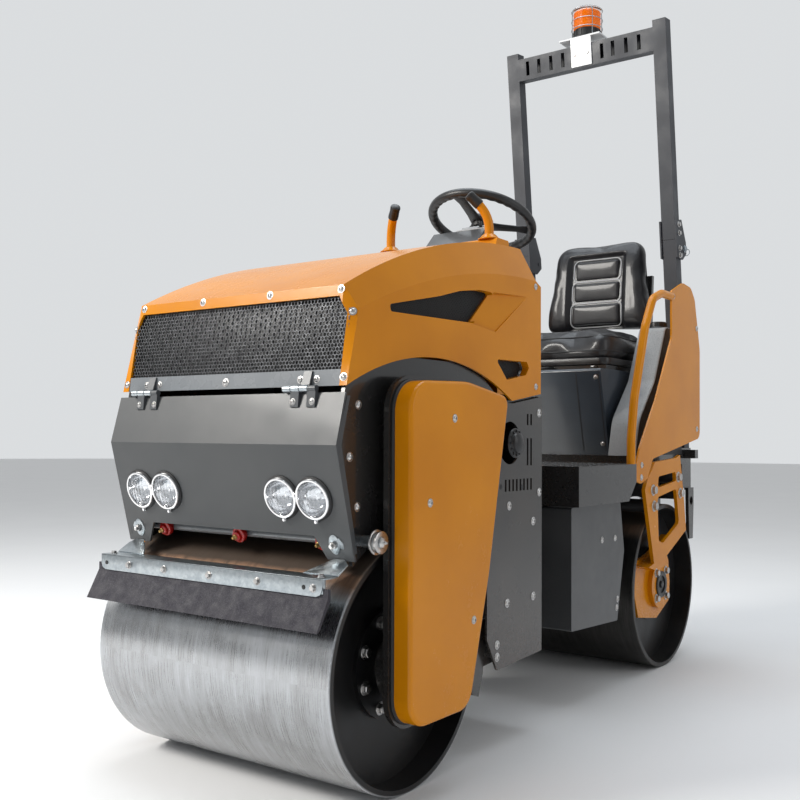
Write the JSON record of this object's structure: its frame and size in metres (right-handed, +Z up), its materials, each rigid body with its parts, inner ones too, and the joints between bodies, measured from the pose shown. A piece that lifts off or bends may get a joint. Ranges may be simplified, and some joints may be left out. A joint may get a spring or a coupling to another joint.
{
  "type": "tandem road roller",
  "caption": "Small ride-on articulated road roller with smooth steel drums front and rear, a tilting front hood, a driver's seat and a folding roll-over bar.",
  "frame": {"origin": "on the ground, under the middle of the overall length and width", "axes": "+X to the machine's left side, -Y is forwards, +Z up"},
  "size_m": [0.886, 2.205, 2.47],
  "materials": {
    "yellow_paint": "glossy golden yellow paint",
    "black_paint": "glossy black paint",
    "dark_grey_paint": "dark grey textured powder coat",
    "panel_grey_paint": "satin grey paint",
    "blue_grey_paint": "satin blue grey paint",
    "mesh_grey_paint": "perforated sheet, light grey",
    "white_paint": "white paint",
    "drum_steel": "rolled steel, bright and rubbed on the rolling face",
    "engine_metal": "cast, plain",
    "zinc_steel": "zinc plated",
    "bright_rod": "hard chromed",
    "lamp_chrome": "chromed bezel and reflector",
    "lamp_glass": "clear",
    "rubber": "matt",
    "red_plastic": "glossy",
    "black_plastic": "fine grain",
    "amber_plastic": "clear amber",
    "light_grey_plastic": "grained light grey",
    "seat_vinyl": "black vinyl with grey piping"
  },
  "bodies": {
    "front_frame": {"front_frame": "black_paint", "drum_legs": "black_paint", "drive_covers": "yellow_paint", "leg_buffers": "rubber", "side_grilles": "dark_grey_paint", "intake_caps": "black_plastic", "lamp_panel": "panel_grey_paint", "headlamps": "lamp_chrome", "lamp_lenses": "lamp_glass", "front_scraper": "zinc_steel", "scraper_mat": "rubber", "spray_bar": "panel_grey_paint", "spray_nozzles": "red_plastic", "drum_wiper": "black_paint", "frame_pins": "zinc_steel", "engine_block": "engine_metal", "steering_column": "black_paint", "dash_console": "yellow_paint", "instrument_box": "light_grey_plastic", "travel_levers": "yellow_paint", "lever_grips": "black_plastic", "panel_hinge_leaves": "zinc_steel"},
    "front_drum": {"front_drum": "drum_steel"},
    "hood": {"hood_shell": "yellow_paint", "hood_grille": "mesh_grey_paint", "hinge_strip": "panel_grey_paint", "hood_side_meshes": "mesh_grey_paint", "hood_hinge_leaves": "zinc_steel"},
    "steering_wheel": {"steering_wheel": "black_plastic"},
    "centre_link": {"centre_link": "dark_grey_paint"},
    "cylinder_barrel": {"cylinder_barrel": "black_paint"},
    "cylinder_rod": {"cylinder_rod": "bright_rod"},
    "rear_frame": {"rear_chassis": "dark_grey_paint", "deck": "dark_grey_paint", "step_boxes": "dark_grey_paint", "rear_forks": "yellow_paint", "fork_buffers": "rubber", "seat_pedestal": "blue_grey_paint", "seat_frame": "black_paint", "seat_cushion": "seat_vinyl", "seat_back": "seat_vinyl", "side_tanks": "light_grey_plastic", "rear_fenders": "yellow_paint", "handrails": "yellow_paint", "rollbar_posts": "dark_grey_paint", "rear_scraper": "black_paint"},
    "rear_drum": {"rear_drum": "drum_steel"},
    "roll_over_bar": {"rollbar_hoop": "dark_grey_paint", "beacon_bracket": "white_paint", "beacon_base": "black_plastic", "beacon_lens": "amber_plastic"}
  },
  "joints": [
    {"name": "front_drum_spin", "type": "hinge", "parent": "front_frame", "child": "front_drum", "pos_m": [0, -0.7825, 0.28], "axis": [1, 0, 0], "continuous": true},
    {"name": "hood_tilt", "type": "hinge", "parent": "front_frame", "child": "hood", "pos_m": [0, -1.0185, 0.892], "axis": [1, 0, 0], "range_deg": [0, 60]},
    {"name": "wheel_turn", "type": "hinge", "parent": "front_frame", "child": "steering_wheel", "pos_m": [0, 0.1205, 1.485], "axis": [0, 0.3746, 0.9272], "range_deg": [-540, 540]},
    {"name": "steer", "type": "hinge", "parent": "front_frame", "child": "centre_link", "pos_m": [0, -0.0725, 0.4], "axis": [0, 0, 1], "range_deg": [-24, 24]},
    {"name": "rock", "type": "hinge", "parent": "centre_link", "child": "rear_frame", "pos_m": [0, 0.0775, 0.4], "axis": [0, 1, 0], "range_deg": [-8, 8]},
    {"name": "rear_drum_spin", "type": "hinge", "parent": "rear_frame", "child": "rear_drum", "pos_m": [0, 0.7565, 0.28], "axis": [1, 0, 0], "continuous": true},
    {"name": "cylinder_swing", "type": "hinge", "parent": "front_frame", "child": "cylinder_barrel", "pos_m": [0.12, -0.3525, 0.4], "axis": [0, 0, 1], "range_deg": [-1, 1]},
    {"name": "cylinder_stroke", "type": "slide", "parent": "cylinder_barrel", "child": "cylinder_rod", "axis": [0, 1, 0], "range_m": [-0.05, 0.05]},
    {"name": "bar_fold", "type": "hinge", "parent": "rear_frame", "child": "roll_over_bar", "pos_m": [0, 1.03154, 1.50463], "axis": [-1, 0, 0], "range_deg": [0, 95]}
  ],
  "couplings": [
    {"joint": "cylinder_swing", "follows": "steer", "ratio": -0.016},
    {"joint": "cylinder_stroke", "follows": "steer", "m_per_rad": 0.1165}
  ]
}
